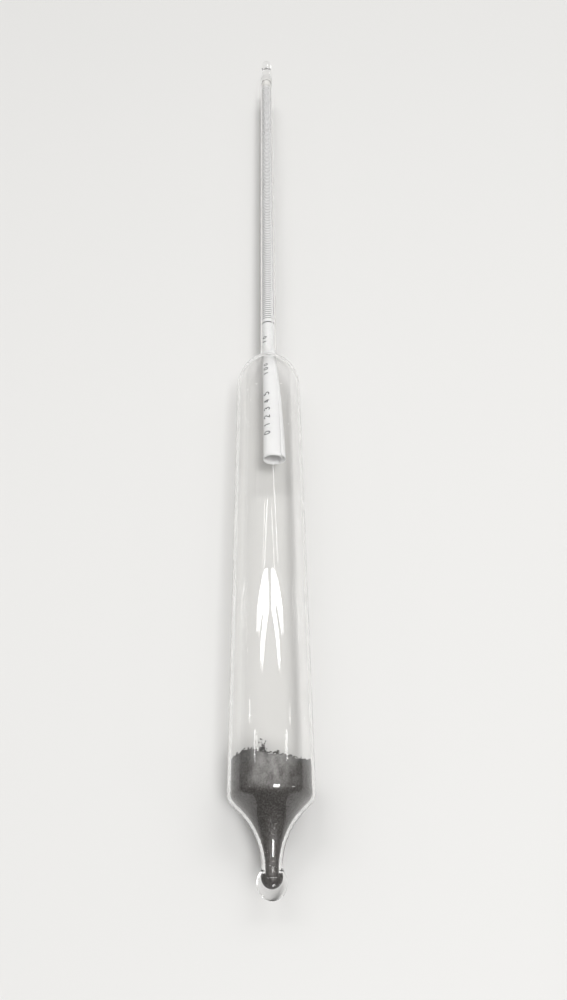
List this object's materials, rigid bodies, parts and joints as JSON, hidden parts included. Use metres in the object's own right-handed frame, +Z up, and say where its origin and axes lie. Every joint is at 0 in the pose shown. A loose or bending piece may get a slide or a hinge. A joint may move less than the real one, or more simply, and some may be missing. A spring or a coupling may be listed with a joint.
{
  "type": "glass hydrometer",
  "caption": "Glass hydrometer lying on its side: slim float bulb with shot ballast in a drawn tail, and a thin stem with a rolled paper scale inside.",
  "frame": {"origin": "centre of the part's footprint, on the surface that the float bulb lies on", "axes": "+Y along the hydrometer's axis, from the tail to the stem's tip; +Z up, away from the surface"},
  "size_m": [0.0166, 0.305, 0.0167],
  "materials": {
    "clear_glass": "clear, fire polished",
    "shot": "dark fine shot, bound and slightly shiny",
    "cement": "dusty grey cement",
    "paper": "matt white with thin black graduations",
    "plug": "matt white",
    "ink": "printed black"
  },
  "bodies": {
    "root": {"tail_bead": "clear_glass", "tail_cone": "clear_glass", "body_tube": "clear_glass", "shoulder": "clear_glass", "stem_tube": "clear_glass", "stem_end_bead": "clear_glass", "ballast_shot": "shot", "ballast_cement": "cement", "loose_grains": "shot", "scale_paper": "paper", "scale_plug": "plug"}
  },
  "joints": []
}
